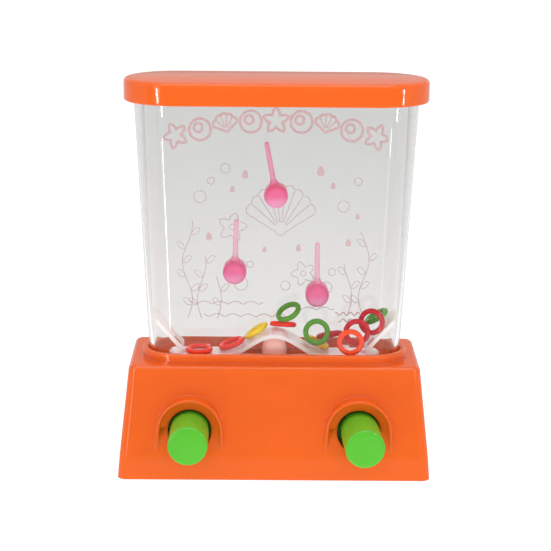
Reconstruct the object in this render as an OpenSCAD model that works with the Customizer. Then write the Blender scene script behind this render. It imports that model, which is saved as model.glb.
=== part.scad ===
// Handheld water game: a clear tank with three pegs and loose rings, standing on a base
// with two push buttons, each of which squeezes a small pump below the tank.
// Lengths are in millimetres and angles in degrees.
// The origin is the middle of the underside, below the tank. +Z is up, the buttons face -Y.

/* [Base] */
// Width of the base at its foot
foot_w = 85; // [82:0.5:96]
// Depth of the base at its foot
foot_d = 39.4; // [38.8:0.2:46]
// Width of the base's top
top_w = 79.5; // [78.5:0.5:82]
// From the tank's middle forward to the base's top edge
top_front = 13.2; // [12.6:0.2:14.4]
// From the tank's middle back to the base's top edge
top_back = 17.2; // [15:0.2:18.6]
// Height of the base's top face
base_h = 30; // [29.6:0.2:33]
// Height of the upright skirt below the sloping front
skirt_h = 6.9; // [5:0.1:7.4]
// Wall of the base
base_wall = 1.8; // [1.4:0.1:2]
// Rounding of the base's upright corners
corner_r = 2.4; // [1.5:0.1:3.5]
// Rounding of the base's top edges
top_edge_r = 1.4; // [1:0.1:2.2]

/* [Tank] */
// Distance between the middles of the tank's two round ends
end_spacing = 52.8; // [51.6:0.4:54]
// Outer radius of the tank's ends at its floor
tank_r_low = 8.15; // [7.9:0.05:8.4]
// Outer radius of the tank's ends at its mouth
tank_r_high = 12.1; // [11.4:0.1:12.8]
// Height of the tank
tank_h = 76.7; // [70:0.5:90]
// Wall of the tank
tank_wall = 1.4; // [1.1:0.1:1.6]
// Thickness of the tank's floor
tank_floor = 1.5; // [1.2:0.1:1.8]
// Thickness of the rim that the lid covers
rim_t = 1.4; // [1:0.1:1.8]
// Depth to which the tank sinks below the base's top face
seat_depth = 1.5; // [1:0.1:2]
// Height of the collar round the tank's foot
collar_h = 2.4; // [1.6:0.1:3.2]
// Width of the collar's rim
collar_wall = 1.65; // [1.2:0.05:1.8]
// Rounding of the collar's outer rim
collar_edge_r = 0.8; // [0.4:0.1:0.8]
// Gap between the tank and its collar
collar_fit = 0.25; // [0.2:0.05:0.35]
// Thickness of the tray that carries the tank
tray_t = 1.4; // [1:0.1:1.8]

/* [Lid] */
// Outer radius of the lid's ends
lid_r = 14.6; // [14.2:0.1:16]
// Height of the lid
lid_h = 6; // [5:0.1:7]
// Wall of the lid's skirt
lid_wall = 1.4; // [1:0.1:1.5]
// Thickness of the lid's roof
lid_roof = 1.7; // [1.2:0.1:2]
// Rounding of the lid's top edge
lid_edge_r = 1.1; // [0.4:0.1:1.2]
// Rounding of the lid's bottom edge
lid_foot_r = 0.4; // [0.2:0.1:0.6]
// Gap between the lid and the tank
lid_fit = 0.15; // [0.1:0.05:0.2]
// Width of the rib that reaches into the tank's mouth
lid_rib_t = 1.2; // [0.8:0.1:1.5]
// Depth of that rib below the lid's roof
lid_rib_h = 2.5; // [1.5:0.1:3]

/* [Pegs] */
// Radius of a peg's boss
boss_r = 3.3; // [3:0.1:3.5]
// Length of a peg's boss, from the tank's back wall forward
boss_len = 5.6; // [5:0.1:6.2]
// Radius of a peg's stick at the boss
stick_r = 0.8; // [0.6:0.05:1]
// Radius of a peg's stick at the tip
stick_tip_r = 0.65; // [0.5:0.05:0.8]
// Radius of the flare at the foot of a peg's stick
flare_r = 1.6; // [1.2:0.1:1.7]
// Height of that flare above the boss
flare_h = 1.3; // [0.8:0.1:2]
// Radius of the pip on the tank's wall that holds a boss
pip_r = 1.5; // [1.2:0.1:1.8]
// Length of that pip
pip_len = 2.6; // [2:0.1:3]
// Radial gap between pip and boss
pip_fit = 0.04; // [0.02:0.01:0.08]
// Gap between a boss and the tank's wall behind it
boss_gap = 0.2; // [0.1:0.05:0.3]
// Distance of the top peg's boss to the right of the middle
top_peg_x = 0.1; // [-2:0.1:2]
// Height of the top peg's boss
top_peg_z = 73.8; // [70:0.1:78]
// Length of the top peg, from the boss's middle to the tip
top_peg_len = 15.2; // [12:0.1:17]
// Lean of the top peg to the left
top_peg_lean = 10.5; // [0:0.5:14]
// Distance of the left peg's boss to the left of the middle
left_peg_x = 11.2; // [10:0.1:13]
// Height of the left peg's boss
left_peg_z = 52.4; // [50:0.1:54]
// Lean of the left peg to the right
left_peg_lean = 1.5; // [0:0.5:4]
// Distance of the right peg's boss to the right of the middle
right_peg_x = 11.8; // [10:0.1:13]
// Height of the right peg's boss
right_peg_z = 46.1; // [45.5:0.1:49]
// Lean of the right peg to the left
right_peg_lean = 0.5; // [0:0.5:4]
// Length of the left and right pegs, from the boss's middle to the tip
side_peg_len = 14.9; // [12:0.1:16]

/* [Deck] */
// Depth of the clear deck that carries the rings
deck_d = 8.2; // [7.6:0.2:8.6]
// Thickness of the deck
deck_t = 0.9; // [0.7:0.1:1]
// Height of the deck's hump above its low stretches
hump_h = 5.8; // [5.6:0.1:6.2]
// Half the length of the hump
hump_half = 14; // [13:0.5:14.5]
// Distance from the middle to the foot of either ramp
ramp_x = 25.2; // [25.1:0.1:25.6]
// Height of the upright step at the ramp's foot
ramp_step = 1.8; // [1.4:0.1:2]
// Slope of the ramps
ramp_slope = 50; // [46:1:52]
// Width of the tabs that hold the deck between the tank's walls
tab_w = 3; // [2:0.5:4]
// Gap between the deck and the tank
deck_fit = 0.2; // [0.15:0.05:0.3]

/* [Rings] */
// Radius from a ring's middle to the middle of its round section
ring_r = 3.02; // [2.9:0.02:3.04]
// Radius of a ring's round section
ring_wire_r = 0.73; // [0.65:0.01:0.75]

/* [Buttons] */
// Distance from the middle to either button
button_x = 22.9; // [22.5:0.1:23.5]
// Height of the buttons' axes
button_z = 13.45; // [13.2:0.05:14]
// Radius of a button
button_r = 5.3; // [4.8:0.1:5.4]
// How far a button stands out of the sloping front
button_out = 13.2; // [10:0.1:15]
// Rounding of a button's face
button_edge_r = 0.8; // [0.4:0.1:1.1]
// Wall of a button
button_wall = 1.2; // [1:0.1:1.5]
// Radial gap round a button in the front's hole
hole_gap = 0.6; // [0.55:0.05:0.7]
// Distance that a button travels
travel = 6; // [4:0.25:6.5]
// Outer radius of the flange that keeps a button in
flange_r = 7; // [6.8:0.05:7.1]
// Thickness of that flange
flange_t = 1.4; // [1:0.1:1.6]
// Gap between a released button's flange and the shoulder that stops it
stop_gap = 0.1; // [0.05:0.05:0.2]
// Lean of the right button to the right, which its loose guide lets it take
lean_right = 3.4; // [0:0.2:3.4]
// Lean of the right button downward
lean_down = 1.6; // [0:0.2:1.6]
// Radial gap between the flange and its guide
guide_fit = 0.45; // [0.44:0.01:0.5]
// Wall of the guide
guide_wall = 1.1; // [0.9:0.1:1.3]
// How far the guide reaches behind a pressed button's flange
guide_spare = 0.6; // [0.2:0.1:1]
// How far forward of the tank's middle the guide's shoulder lies
shoulder_y = 13.4; // [13:0.1:14]

/* [Guards] */
// Outer radius of the guard above a button
guard_r = 9; // [8.8:0.1:9.4]
// Width of a guard's rounded crest
guard_crest_w = 1; // [0.8:0.1:1.4]
// How far a guard's inner flank drops back from the crest to the hole
guard_dish = 1.6; // [1:0.1:3]
// How far a guard's legs spread beyond its radius
guard_spread = 0.5; // [0:0.1:0.8]
// How far the guard's face stays behind the skirt's
guard_inset = 0.3; // [0.2:0.05:0.5]

/* [Pumps] */
// Outer radius of a pump's chamber
chamber_r = 7.4; // [7.2:0.1:7.5]
// Length of a pump's chamber
chamber_len = 12.2; // [10:0.2:12.8]
// Wall of a pump's chamber
chamber_wall = 1; // [0.8:0.1:1.3]
// How far forward of the tank's middle a chamber begins
chamber_front = 2.6; // [2.4:0.1:2.8]
// Outer radius of the bellows at its folds
bellows_r = 6.2; // [5.8:0.1:6.6]
// Outer radius of the bellows between its folds
bellows_waist = 4.8; // [4.6:0.1:5]
// Wall of the bellows
bellows_wall = 0.6; // [0.5:0.05:0.7]
// Number of folds in the bellows
bellows_folds = 3; // [2:1:4]
// Thickness of the bellows' lip on the chamber
lip_t = 0.8; // [0.6:0.1:1.2]
// Gap between the bellows and the button that presses it
press_gap = 0.25; // [0.1:0.05:0.4]
// Distance from the middle to either jet
jet_x = 26.7; // [26.6:0.05:26.8]
// Radius of the pipes that feed a jet
pipe_r = 2; // [1.8:0.05:2.1]
// Radius of the bore in those pipes
pipe_bore_r = 1.1; // [0.9:0.05:1.2]
// Distance between the two pipes inside the soft tube
pipe_gap = 0.5; // [0.3:0.1:1]
// Radius of a jet's mouth
jet_r = 0.6; // [0.4:0.05:0.8]
// Radius of a jet's head
jet_head_r = 2.5; // [2.3:0.1:2.6]
// Height of a jet's head above the tank's floor
jet_head_h = 1.6; // [1.4:0.1:1.8]
// Height and width of the slope round a jet's mouth
jet_slope = 0.7; // [0.4:0.1:0.8]
// Outer radius of the soft tube between pump and jet
tube_r = 3; // [2.8:0.05:3.1]
// Radial gap between the soft tube and the pipes in it
tube_fit = 0.03; // [0.02:0.01:0.05]
// Gap at either end of the soft tube
tube_gap = 0.15; // [0.1:0.05:0.3]

/* [Filler plug] */
// Radius of the plug in the tank's floor
plug_r = 3.4; // [2.9:0.1:3.6]
// Rounding of the plug's domed tip
plug_tip_r = 2.6; // [1:0.1:2.8]
// Radial gap between the plug and its bore
plug_fit = 0.05; // [0.03:0.01:0.08]
// Height of the plug above the tank's floor
plug_rise = 4.6; // [3.5:0.1:4.7]
// Wall of the neck round the plug
neck_wall = 1.7; // [1.2:0.1:2]
// Length of the neck below the tank's floor
neck_len = 2.9; // [2.9:0.1:3.4]
// Gap between the neck or a feed pipe and the tray's hole
tray_fit = 0.3; // [0.2:0.05:0.4]
// Thickness of the plug's flange
plug_flange_t = 1.5; // [1:0.1:2]
// Radius of the plug's stem
stem_r = 1.6; // [1.2:0.1:2]
// Radius of the plug's knob
knob_r = 4; // [3.5:0.1:4.5]
// Height of the underside of the plug's knob
knob_z = 9.9; // [9.8:0.1:11]
// Thickness of the plug's knob
knob_t = 2.6; // [2:0.1:3.5]

/* [Bottom cover] */
// Thickness of the bottom cover
cover_t = 1.6; // [1.2:0.1:2]
// Gap between the cover and the base
cover_fit = 0.5; // [0.4:0.05:0.6]
// Radius of the hole below the filler plug
port_r = 9; // [8.6:0.1:10]
// Width of the cradle below a pump
cradle_w = 10; // [8:0.5:11]
// Width of the post behind a pump
post_w = 7; // [5:0.5:9]
// Thickness of that post
post_t = 2; // [1.5:0.1:2.5]
// How far that post reaches above the pump's axis
post_rise = 3; // [1:0.5:5]
// Thickness of the rib above a pump
rib_t = 1.6; // [1.2:0.1:2]
// Length of that rib
rib_len = 4; // [3:0.5:6]
// Gap between a pump's chamber and what holds it
hold_gap = 0.1; // [0.05:0.05:0.15]
// Distance of the screws from the sides of the base's foot
screw_side_inset = 6.3; // [6:0.1:6.7]
// Distance of the screws from the front and the back of the base's foot
screw_end_inset = 7.1; // [6.7:0.1:7.7]
// Radius of the bosses that take the screws
screw_boss_r = 2.6; // [2.4:0.1:2.8]
// Height of the pads round the screws, above the cover
pad_rise = 1.6; // [1.2:0.1:2]
// Radius of the screws' shanks
shank_r = 0.9; // [0.8:0.05:1]
// Length of the screws' shanks
shank_len = 8; // [6:0.5:10]
// Radius of the screws' heads
head_r = 1.9; // [1.7:0.05:2]
// Height of the screws' heads
head_h = 1.2; // [1:0.1:1.4]
// Depth of the screws' heads below the underside
head_sunk = 0.25; // [0.2:0.05:0.5]

/* [Hidden] */
// Each loose ring: its name, its colour, its middle as [x, y, height above the deck there]
// and its axis as [tilt from upright, heading of the tilt]
RINGS = [
    ["ring_green_1", "green", [3.8, 0.2, 6.5], [34, 218]],
    ["ring_green_2", "green", [11.6, -2.6, 5.9], [80, 275]],
    ["ring_green_3", "green", [28.4, 2.4, 9.6], [30, 178]],
    ["ring_yellow_1", "yellow", [-5.1, 1.6, 1.4], [34, 172]],
    ["ring_yellow_2", "yellow", [11.8, 1.8, 1.8], [24, 8]],
    ["ring_red_1", "red", [2.4, 2.2, 1.8], [17, 80]],
    ["ring_red_2", "red", [-11.9, 0.6, 1.7], [20, 180]],
    ["ring_red_3", "red", [-20.8, -1.6, 0.9], [0, 0]],
    ["ring_orange_1", "orangered", [20.8, -6, 4.4], [88, 270]],
    ["ring_crimson_1", "crimson", [26.7, -2.4, 9.3], [80, 252]],
    ["ring_crimson_2", "crimson", [22.6, -4.3, 6.9], [89, 270]],
    ["ring_crimson_3", "crimson", [15.4, 2.9, 4.1], [16, 130]],
];

// Facets of round shapes and of a hull's round corners, and how far a cut runs past its solid
FINE = 72;
SOFT = 32;
OVER = 1;
// Height of the thin slices that a hull joins
SLICE = 0.05;
// Least rounding of the base's corners and edges on the inside of its wall
LEAST_CORNER_R = 0.6;
LEAST_EDGE_R = 0.4;

ORANGE = [0.98, 0.4, 0.12];
PINK = [0.93, 0.4, 0.62, 0.8];
CLEAR = [0.9, 0.93, 0.94, 0.35];
MILKY = [0.92, 0.92, 0.88];
CREAM = [0.9, 0.88, 0.8];
FLESH = [0.95, 0.66, 0.62, 0.85];
LEAF_GREEN = [0.35, 0.8, 0.25];

// Heights of the tank, its tray, its collar and the lid
end_x = end_spacing / 2;
tank_z = base_h - seat_depth;
floor_z = tank_z + tank_floor;
tank_top = tank_z + tank_h;
roof_z = tank_top + lid_fit;
lid_top = roof_z + lid_roof;
lid_z = lid_top - lid_h;
tray_z = tank_z - tray_t;
collar_top = base_h + collar_h;
neck_r = plug_r + plug_fit + neck_wall;
neck_end = tank_z - neck_len;

// Distances of the screws from the middle
screw_x = foot_w / 2 - screw_side_inset;
screw_y = foot_d / 2 - screw_end_inset;

function tank_r_at(z) = tank_r_low + (tank_r_high - tank_r_low) * (z - tank_z) / tank_h;
function tank_in_at(z) = tank_r_at(z) - tank_wall;

// The base: how far the front reaches forward and the sides reach out at a height
function front_at(z) = top_front
    + (foot_d / 2 - top_front) * (base_h - max(z, skirt_h)) / (base_h - skirt_h);
function side_at(z) = (foot_w - (foot_w - top_w) * z / base_h) / 2;

// Height of the deck's upper face above the tank's floor
function hump_at(x) = deck_t + (abs(x) < hump_half ? hump_h * pow(cos(90 * x / hump_half), 2) : 0);

// Points on a round stretch, and a half outline turned over to the other side
function arc(x, z, r, from, to, n) = [for (i = [0:n]) let(t = from + (to - from) * i / n)
    [x + r * cos(t), z + r * sin(t)]];
function mirrored(points) = [for (i = [len(points) - 1:-1:0]) [-points[i][0], points[i][1]]];

// The pegs: distance to the right of the middle, height, length and lean to the left
PEGS = [
    [top_peg_x, top_peg_z, top_peg_len, top_peg_lean],
    [-left_peg_x, left_peg_z, side_peg_len, -left_peg_lean],
    [right_peg_x, right_peg_z, side_peg_len, right_peg_lean],
];

// A solid with two round ends and straight sides, swept from a half section of [radius, height]
// that starts and ends on the axis
module stadium(section) {
    for (side = [-1, 1])
        translate([side * end_x, 0, 0])
            rotate_extrude($fn = FINE) polygon(section);
    for (side = [0, 1])
        translate([-end_x, 0, 0]) rotate([90, 0, 90])
            linear_extrude(end_spacing) mirror([side, 0]) polygon(section);
}

// A cylinder that runs forward from a point at the buttons' height
module forward(x, from, to, r) {
    translate([x, -from, button_z]) rotate([90, 0, 0]) cylinder(h = to - from, r = r, $fn = FINE);
}

module lid() {
    skirt_in = lid_r - lid_wall;
    rib_z = roof_z - lid_rib_h;
    rib_out = tank_in_at(rib_z) - lid_fit;
    rib_in = rib_out - lid_rib_t;
    rib_top = roof_z + lid_roof / 2;
    color(ORANGE) {
        difference() {
            stadium(concat([[0, lid_z]],
                arc(lid_r - lid_foot_r, lid_z + lid_foot_r, lid_foot_r, -90, 0, 4),
                arc(lid_r - lid_edge_r, lid_top - lid_edge_r, lid_edge_r, 0, 90, 5),
                [[0, lid_top]]));
            stadium([[0, lid_z - OVER], [skirt_in, lid_z - OVER], [skirt_in, roof_z], [0, roof_z]]);
        }
        difference() {
            stadium([[0, rib_z], [rib_out, rib_z], [rib_out, rib_top], [0, rib_top]]);
            stadium([[0, rib_z - OVER], [rib_in, rib_z - OVER], [rib_in, roof_z], [0, roof_z]]);
        }
    }
}

module tank() {
    rim_r = lid_r - lid_wall - lid_fit;
    rim_z = lid_z + rim_t / 4;
    rim_top = rim_z + rim_t;
    past_top = tank_top + OVER;
    color(CLEAR) difference() {
        union() {
            difference() {
                stadium([[0, tank_z], [tank_r_low, tank_z], [tank_r_at(rim_z), rim_z],
                    [rim_r, rim_z], [rim_r, rim_top], [tank_r_at(rim_top), rim_top],
                    [tank_r_high, tank_top], [0, tank_top]]);
                stadium([[0, floor_z], [tank_in_at(floor_z), floor_z],
                    [tank_in_at(past_top), past_top], [0, past_top]]);
            }
            // A pip on the back wall for each peg
            for (p = PEGS)
                translate([p[0], tank_in_at(p[1]) + tank_wall / 2, p[1]]) rotate([90, 0, 0])
                    cylinder(h = pip_len + tank_wall / 2, r = pip_r, $fn = FINE);
            translate([0, 0, neck_end]) cylinder(h = floor_z - neck_end, r = neck_r, $fn = FINE);
        }
        translate([0, 0, neck_end - OVER])
            cylinder(h = floor_z - neck_end + 2 * OVER, r = plug_r + plug_fit, $fn = FINE);
        for (side = [-1, 1])
            translate([side * jet_x, 0, tank_z - OVER])
                cylinder(h = tank_floor + 2 * OVER, r = pipe_r + tube_fit, $fn = FINE);
    }
}

module peg(p) {
    back = tank_in_at(p[1] - boss_r) - boss_gap;
    bore_end = tank_in_at(p[1]) - pip_len - boss_gap;
    nose_r = boss_r / 2;
    color(PINK) difference() {
        translate([p[0], back, p[1]]) rotate([0, -p[3], 0]) {
            rotate([90, 0, 0]) rotate_extrude($fn = FINE) polygon(concat(
                [[0, 0], [boss_r, 0]], arc(boss_r - nose_r, boss_len - nose_r, nose_r, 0, 90, 6),
                [[0, boss_len]]));
            translate([0, -boss_len / 2, 0]) {
                cylinder(h = p[2] - stick_tip_r, r1 = stick_r, r2 = stick_tip_r, $fn = SOFT);
                translate([0, 0, p[2] - stick_tip_r]) sphere(stick_tip_r, $fn = SOFT);
                translate([0, 0, boss_r - OVER / 2])
                    cylinder(h = flare_h + OVER / 2, r1 = flare_r, r2 = stick_r, $fn = SOFT);
            }
        }
        translate([p[0], bore_end, p[1]]) rotate([-90, 0, 0])
            cylinder(h = boss_len, r = pip_r + pip_fit, $fn = FINE);
    }
}

module top_peg() peg(PEGS[0]);
module left_peg() peg(PEGS[1]);
module right_peg() peg(PEGS[2]);

module deck() {
    // Number of straight steps in either half of the hump
    steps = 14;
    // Measured upright, the hump is this much thicker, which keeps its slopes as thick as the rest
    slope_share = 1.15;
    upright_t = deck_t * slope_share;
    step_top = deck_t + ramp_step;
    // Each ramp runs on past the tank's end, where the tank's inner shape cuts it off
    reach = end_x + tank_r_high - ramp_x;
    rise = reach * tan(ramp_slope);
    ramp_t = deck_t / cos(ramp_slope);
    hump_x = [for (i = [1:steps]) hump_half * i / steps];
    top = concat([for (x = hump_x) [x, hump_at(x)]],
        [[ramp_x, deck_t], [ramp_x, step_top], [ramp_x + reach, step_top + rise]]);
    under = concat([for (x = hump_x) [x, max(0, hump_at(x) - upright_t)]],
        [[ramp_x + deck_t, 0], [ramp_x + deck_t, step_top - ramp_t + deck_t * tan(ramp_slope)]],
        [[ramp_x + reach, step_top + rise - ramp_t]]);
    turned = mirrored(under);
    color(CLEAR) difference() {
        intersection() {
            union() {
                translate([0, deck_d / 2, floor_z]) rotate([90, 0, 0]) linear_extrude(deck_d)
                    polygon(concat(mirrored(top), [[0, hump_at(0)]], top,
                        [for (i = [len(under) - 1:-1:0]) under[i]], [[0, hump_at(0) - upright_t]],
                        [for (i = [len(turned) - 1:-1:0]) turned[i]]));
                for (side = [-1, 1])
                    translate([side * (hump_half + ramp_x) / 2 - tab_w / 2, -tank_r_high, floor_z])
                        cube([tab_w, 2 * tank_r_high, deck_t]);
            }
            stadium([[0, floor_z], [tank_in_at(floor_z) - deck_fit, floor_z],
                [tank_in_at(floor_z + rise) - deck_fit, floor_z + rise], [0, floor_z + rise]]);
        }
        // The opening in each ramp that lets the jet through
        for (side = [-1, 1])
            translate([side * jet_x, 0, floor_z - OVER])
                cylinder(h = rise + OVER, r = jet_head_r + deck_fit, $fn = FINE);
    }
}

// The pump's spigot and the jet's pipe meet at this height inside the soft tube
chamber_top = button_z + chamber_r;
pipe_split = (chamber_top + neck_end) / 2;

module jet(side) {
    bottom = pipe_split + pipe_gap / 2;
    head_top = floor_z + jet_head_h;
    color(CLEAR) translate([side * jet_x, 0, 0]) rotate_extrude($fn = FINE) polygon([
        [pipe_bore_r, bottom], [pipe_r, bottom], [pipe_r, floor_z + tube_fit],
        [jet_head_r, floor_z + tube_fit], [jet_head_r, head_top - jet_slope],
        [jet_head_r - jet_slope, head_top], [jet_r, head_top], [jet_r, floor_z],
        [pipe_bore_r, floor_z]]);
}

module left_jet() jet(-1);
module right_jet() jet(1);

module feed_tube(side) {
    bottom = chamber_top + tube_gap;
    color(CREAM) translate([side * jet_x, 0, bottom]) difference() {
        cylinder(h = tray_z - tube_gap - bottom, r = tube_r, $fn = FINE);
        translate([0, 0, -OVER])
            cylinder(h = tray_z - bottom + 2 * OVER, r = pipe_r + tube_fit, $fn = FINE);
    }
}

module left_feed_tube() feed_tube(-1);
module right_feed_tube() feed_tube(1);

module pump_chamber(side) {
    x = side * button_x;
    back = chamber_front - chamber_len;
    color(MILKY) difference() {
        union() {
            forward(x, back, chamber_front, chamber_r);
            translate([side * jet_x, 0, button_z])
                cylinder(h = pipe_split - pipe_gap / 2 - button_z, r = pipe_r, $fn = FINE);
        }
        forward(x, back + chamber_wall, chamber_front + OVER, chamber_r - chamber_wall);
        translate([side * jet_x, 0, button_z])
            cylinder(h = pipe_split - button_z, r = pipe_bore_r, $fn = FINE);
    }
}

module left_pump_chamber() pump_chamber(-1);
module right_pump_chamber() pump_chamber(1);

// How a button leans, and where a released button's flange ends as a distance forward of the
// tank's middle, with the edge that its lean brings nearest to the shoulder kept clear
function lean(side) = side > 0 ? [lean_down, lean_right] : [0, 0];
function lean_cos(side) = cos(lean(side)[0]) * cos(lean(side)[1]);
function lean_sin(side) = sqrt(1 - pow(lean_cos(side), 2));
function flange_back(side) = shoulder_y - stop_gap
    - flange_t * lean_cos(side) - flange_r * lean_sin(side);

module bellows(side) {
    lip_front = chamber_front + lip_t;
    front = flange_back(side) - bellows_waist * lean_sin(side) - press_gap;
    plate = front - bellows_wall;
    pitch = (plate - lip_front) / bellows_folds;
    waist_in = bellows_waist - bellows_wall;
    outer = [for (i = [0:bellows_folds - 1], q = [[bellows_waist, 0], [bellows_r, 0.5]])
        [q[0], lip_front + (i + q[1]) * pitch]];
    inside = [for (i = [bellows_folds - 1:-1:0], q = [[bellows_r, 0.5], [bellows_waist, 0]])
        [q[0] - bellows_wall, lip_front + (i + q[1]) * pitch]];
    color(CREAM) translate([side * button_x, 0, button_z]) rotate([90, 0, 0])
        rotate_extrude($fn = FINE) polygon(concat(
            [[chamber_r, chamber_front], [chamber_r, lip_front]], outer,
            [[bellows_waist, plate], [bellows_waist, front], [0, front], [0, plate], [waist_in, plate]],
            inside, [[waist_in, chamber_front]]));
}

module left_bellows() bellows(-1);
module right_bellows() bellows(1);

module button(side) {
    inner_r = button_r - button_wall;
    face = front_at(button_z) + button_out - flange_back(side);
    turn = lean(side);
    color(LEAF_GREEN) translate([side * button_x, -flange_back(side), button_z])
        rotate([90 + turn[0], 0, turn[1]]) rotate_extrude($fn = FINE) polygon(concat(
            [[inner_r, 0], [flange_r, 0], [flange_r, flange_t], [button_r, flange_t]],
            arc(button_r - button_edge_r, face - button_edge_r, button_edge_r, 0, 90, 5),
            [[0, face], [0, face - button_wall], [inner_r, face - button_wall]]));
}

module left_button() button(-1);
module right_button() button(1);

module filler_plug() {
    // The flange stays just below the neck that the plug closes
    flange_top = neck_end - plug_fit;
    flange_z = flange_top - plug_flange_t;
    tip_z = floor_z + plug_rise;
    color(FLESH) rotate_extrude($fn = FINE) polygon(concat(
        [[0, knob_z], [knob_r, knob_z], [knob_r, knob_z + knob_t], [stem_r, knob_z + knob_t]],
        [[stem_r, flange_z], [neck_r, flange_z], [neck_r, flange_top], [plug_r, flange_top]],
        arc(plug_r - plug_tip_r, tip_z - plug_tip_r, plug_tip_r, 0, 90, 7),
        [[0, tip_z]]));
}

// A rounded box between levels, each given as [half width, front, back, height]
module box_levels(levels, r, edge) {
    hull() for (lv = levels, sx = [-1, 1], sy = [-1, 1]) {
        reach = sy < 0 ? lv[1] : lv[2];
        translate([sx * (lv[0] - r), sy * (reach - r), lv[3]])
            if (lv[3] > skirt_h) translate([0, 0, -edge]) rotate_extrude($fn = SOFT)
                intersection() {
                    translate([r - edge, 0]) circle(edge, $fn = SOFT);
                    translate([0, -edge]) square([r, 2 * edge]);
                }
            else cylinder(h = SLICE, r = r, $fn = SOFT);
    }
}

module base_body(inset) {
    foot_half = foot_d / 2;
    back_at_skirt = foot_half - (foot_half - top_back) * skirt_h / base_h;
    round_r = max(corner_r - inset, LEAST_CORNER_R);
    box_levels([
        [top_w / 2 - inset, top_front - inset, top_back - inset, base_h - inset],
        [side_at(skirt_h) - inset, foot_half - inset, back_at_skirt - inset, skirt_h - SLICE],
        [foot_w / 2 - inset, foot_half - inset, foot_half - inset, inset > 0 ? -OVER : 0],
    ], round_r, min(max(top_edge_r - inset, LEAST_EDGE_R), round_r));
}

// The guard: an arch with a rounded crest, whose inner flank slopes back to the hole. The crest
// stands upright, so the two legs run out where the sloping front meets it
module guard(side) {
    crest = foot_d / 2 - guard_inset;
    crest_r = guard_crest_w / 2;
    hole_r = button_r + hole_gap;
    flank_foot = crest - guard_dish;
    drop = button_z - skirt_h;
    spread = atan(guard_spread / drop);
    section = concat([[0, 0], [guard_r, 0]],
        arc(guard_r - crest_r, crest - crest_r, crest_r, 0, 180, 10),
        [[hole_r, flank_foot], [0, flank_foot]]);
    translate([side * button_x, 0, button_z]) rotate([90, 0, 0]) {
        rotate(spread) rotate_extrude(angle = 180 - 2 * spread, $fn = FINE) polygon(section);
        for (leg = [0, 1])
            mirror([leg, 0, 0]) rotate([90, 0, spread])
                linear_extrude(drop + guard_r * sin(spread)) polygon(section);
    }
}

// The screws' bosses start above the cover's pads and have a closed end past the shanks
boss_z = cover_t + pad_rise + hold_gap;
boss_h = shank_len + 2 * OVER;
head_top = head_sunk + head_h;

module screw_boss(sx, sy) {
    // A web ties the boss to the side wall
    web_t = base_wall / 1.5;
    web_len = side_at(boss_z + boss_h) - base_wall / 3 - screw_x;
    translate([sx * screw_x, sy * screw_y, boss_z]) {
        cylinder(h = boss_h, r = screw_boss_r, $fn = FINE);
        translate([min(sx * web_len, 0), -web_t / 2, 0]) cube([web_len, web_t, boss_h]);
    }
}

module base_shell() {
    hole_r = button_r + hole_gap;
    guide_r = flange_r + guide_fit;
    // The guide still holds the pressed flange of the button that leans
    guide_end = flange_back(1) - flange_r * lean_sin(1) - travel - guide_spare;
    collar_in = tank_r_at(collar_top) + collar_fit;
    collar_out = collar_in + collar_wall;
    edge = collar_wall / 4;
    color(ORANGE) difference() {
        union() {
            difference() {
                union() {
                    base_body(0);
                    for (side = [-1, 1]) guard(side);
                }
                base_body(base_wall);
            }
            // The collar, and the tray below the tank
            stadium(concat([[0, tray_z], [collar_out, tray_z]],
                arc(collar_out - collar_edge_r, collar_top - collar_edge_r, collar_edge_r, 0, 90, 5),
                [[0, collar_top]]));
            intersection() {
                for (side = [-1, 1])
                    forward(side * button_x, guide_end, foot_d, guide_r + guide_wall);
                base_body(0);
            }
            // A rib that keeps each pump's chamber down in its cradle
            for (side = [-1, 1])
                translate([side * button_x - rib_t / 2, tube_r + cover_fit, chamber_top + hold_gap])
                    cube([rib_t, rib_len, tray_z - chamber_top]);
            for (sx = [-1, 1], sy = [-1, 1]) screw_boss(sx, sy);
        }
        stadium([[0, tank_z], [collar_in, tank_z], [collar_in, collar_top - edge],
            [collar_in + edge, collar_top], [collar_in + edge, collar_top + OVER],
            [0, collar_top + OVER]]);
        translate([0, 0, tray_z - OVER])
            cylinder(h = tray_t + 2 * OVER, r = neck_r + tray_fit, $fn = FINE);
        for (side = [-1, 1]) {
            translate([side * jet_x, 0, tray_z - OVER])
                cylinder(h = tray_t + 2 * OVER, r = pipe_r + tray_fit, $fn = FINE);
            forward(side * button_x, 0, foot_d, hole_r);
            forward(side * button_x, 0, shoulder_y, guide_r);
        }
        for (sx = [-1, 1], sy = [-1, 1])
            translate([sx * screw_x, sy * screw_y, boss_z - OVER])
                cylinder(h = shank_len + OVER, r = shank_r + hold_gap / 2, $fn = FINE);
    }
}

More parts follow.
